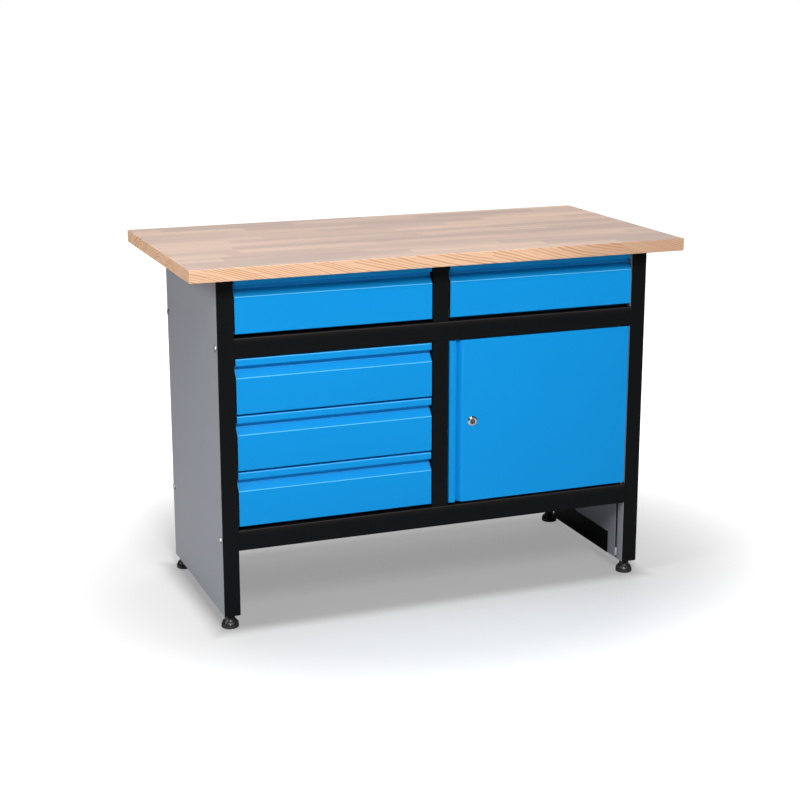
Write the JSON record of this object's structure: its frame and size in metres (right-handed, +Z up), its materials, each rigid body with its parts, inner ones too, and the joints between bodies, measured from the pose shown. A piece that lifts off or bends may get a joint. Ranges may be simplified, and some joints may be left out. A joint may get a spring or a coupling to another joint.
{
  "type": "workbench",
  "caption": "Steel-framed workbench with a laminated wood top, sliding drawers on ball-bearing runners, a lockable side-hinged cupboard door and levelling feet.",
  "frame": {"origin": "on the floor, under the middle of the worktop", "axes": "+X to the right as a person faces the drawers, +Y to the rear, +Z up"},
  "size_m": [1.19, 0.6, 0.84],
  "materials": {
    "laminated_wood": "oiled laminated hardwood",
    "grey_paint": "semi-gloss grey powder coat",
    "black_paint": "satin black powder coat",
    "blue_paint": "satin blue powder coat",
    "zinc_steel": "bright zinc plate",
    "lock_chrome": "polished chrome",
    "lock_brass": "nickel-washed brass",
    "foot_plastic": "moulded black plastic"
  },
  "bodies": {
    "frame": {"worktop": "laminated_wood", "worktop_screws": "zinc_steel", "side_panel_left": "grey_paint", "side_panel_right": "grey_paint", "front_leg_left": "black_paint", "front_leg_right": "black_paint", "lower_rail": "black_paint", "middle_rail": "black_paint", "rear_rails": "black_paint", "centre_post_upper": "black_paint", "centre_post_lower": "black_paint", "rear_post": "black_paint", "centre_partition": "grey_paint", "floor_pan": "grey_paint", "cupboard_cover": "grey_paint", "back_panel": "grey_paint", "back_panel_screws": "zinc_steel", "frame_bolts": "zinc_steel", "frame_nuts": "zinc_steel", "foot_plates": "black_paint", "cupboard_shelf": "grey_paint", "shelf_supports": "zinc_steel", "cabinet_runners": "zinc_steel", "hinge_brackets": "black_paint", "hinge_pins": "zinc_steel"},
    "door": {"door_panel": "blue_paint", "door_inner_pan": "blue_paint", "lock_housing": "lock_chrome", "lock_nut": "zinc_steel"},
    "lock": {"lock_plug": "lock_brass", "lock_cam": "zinc_steel", "cam_screw": "zinc_steel"},
    "drawer_upper_left": {"drawer_upper_left_front": "blue_paint", "drawer_upper_left_box": "grey_paint", "drawer_upper_left_slides": "zinc_steel"},
    "drawer_upper_left_balls": {"drawer_upper_left_cages": "zinc_steel"},
    "drawer_upper_right": {"drawer_upper_right_front": "blue_paint", "drawer_upper_right_box": "grey_paint", "drawer_upper_right_slides": "zinc_steel"},
    "drawer_upper_right_balls": {"drawer_upper_right_cages": "zinc_steel"},
    "drawer_lower_bottom": {"drawer_lower_bottom_front": "blue_paint", "drawer_lower_bottom_box": "grey_paint", "drawer_lower_bottom_slides": "zinc_steel"},
    "drawer_lower_bottom_balls": {"drawer_lower_bottom_cages": "zinc_steel"},
    "drawer_lower_middle": {"drawer_lower_middle_front": "blue_paint", "drawer_lower_middle_box": "grey_paint", "drawer_lower_middle_slides": "zinc_steel"},
    "drawer_lower_middle_balls": {"drawer_lower_middle_cages": "zinc_steel"},
    "drawer_lower_top": {"drawer_lower_top_front": "blue_paint", "drawer_lower_top_box": "grey_paint", "drawer_lower_top_slides": "zinc_steel"},
    "drawer_lower_top_balls": {"drawer_lower_top_cages": "zinc_steel"},
    "foot_front_left": {"foot_front_left": "foot_plastic", "foot_stud_front_left": "zinc_steel"},
    "foot_front_right": {"foot_front_right": "foot_plastic", "foot_stud_front_right": "zinc_steel"},
    "foot_rear_left": {"foot_rear_left": "foot_plastic", "foot_stud_rear_left": "zinc_steel"},
    "foot_rear_right": {"foot_rear_right": "foot_plastic", "foot_stud_rear_right": "zinc_steel"}
  },
  "joints": [
    {"name": "door_hinge", "type": "hinge", "parent": "frame", "child": "door", "pos_m": [0.4796, -0.245, 0.434], "axis": [0, 0, 1], "range_deg": [0, 105]},
    {"name": "lock_turn", "type": "hinge", "parent": "door", "child": "lock", "pos_m": [0.08, -0.25, 0.434], "axis": [0, -1, 0], "range_deg": [0, 90]},
    {"name": "drawer_upper_left_slide", "type": "slide", "parent": "frame", "child": "drawer_upper_left", "axis": [0, -1, 0], "range_m": [0, 0.32]},
    {"name": "drawer_upper_left_cage_roll", "type": "slide", "parent": "frame", "child": "drawer_upper_left_balls", "axis": [0, -1, 0], "range_m": [0, 0.16]},
    {"name": "drawer_upper_right_slide", "type": "slide", "parent": "frame", "child": "drawer_upper_right", "axis": [0, -1, 0], "range_m": [0, 0.32]},
    {"name": "drawer_upper_right_cage_roll", "type": "slide", "parent": "frame", "child": "drawer_upper_right_balls", "axis": [0, -1, 0], "range_m": [0, 0.16]},
    {"name": "drawer_lower_bottom_slide", "type": "slide", "parent": "frame", "child": "drawer_lower_bottom", "axis": [0, -1, 0], "range_m": [0, 0.32]},
    {"name": "drawer_lower_bottom_cage_roll", "type": "slide", "parent": "frame", "child": "drawer_lower_bottom_balls", "axis": [0, -1, 0], "range_m": [0, 0.16]},
    {"name": "drawer_lower_middle_slide", "type": "slide", "parent": "frame", "child": "drawer_lower_middle", "axis": [0, -1, 0], "range_m": [0, 0.32]},
    {"name": "drawer_lower_middle_cage_roll", "type": "slide", "parent": "frame", "child": "drawer_lower_middle_balls", "axis": [0, -1, 0], "range_m": [0, 0.16]},
    {"name": "drawer_lower_top_slide", "type": "slide", "parent": "frame", "child": "drawer_lower_top", "axis": [0, -1, 0], "range_m": [0, 0.32]},
    {"name": "drawer_lower_top_cage_roll", "type": "slide", "parent": "frame", "child": "drawer_lower_top_balls", "axis": [0, -1, 0], "range_m": [0, 0.16]},
    {"name": "foot_front_left_turn", "type": "hinge", "parent": "frame", "child": "foot_front_left", "pos_m": [-0.50625, -0.225, 0.033], "axis": [0, 0, 1], "continuous": true},
    {"name": "foot_front_right_turn", "type": "hinge", "parent": "frame", "child": "foot_front_right", "pos_m": [0.50625, -0.225, 0.033], "axis": [0, 0, 1], "continuous": true},
    {"name": "foot_rear_left_turn", "type": "hinge", "parent": "frame", "child": "foot_rear_left", "pos_m": [-0.50625, 0.195, 0.033], "axis": [0, 0, 1], "continuous": true},
    {"name": "foot_rear_right_turn", "type": "hinge", "parent": "frame", "child": "foot_rear_right", "pos_m": [0.50625, 0.195, 0.033], "axis": [0, 0, 1], "continuous": true}
  ],
  "couplings": [
    {"joint": "drawer_upper_left_cage_roll", "follows": "drawer_upper_left_slide", "ratio": 0.5},
    {"joint": "drawer_upper_right_cage_roll", "follows": "drawer_upper_right_slide", "ratio": 0.5},
    {"joint": "drawer_lower_bottom_cage_roll", "follows": "drawer_lower_bottom_slide", "ratio": 0.5},
    {"joint": "drawer_lower_middle_cage_roll", "follows": "drawer_lower_middle_slide", "ratio": 0.5},
    {"joint": "drawer_lower_top_cage_roll", "follows": "drawer_lower_top_slide", "ratio": 0.5}
  ]
}
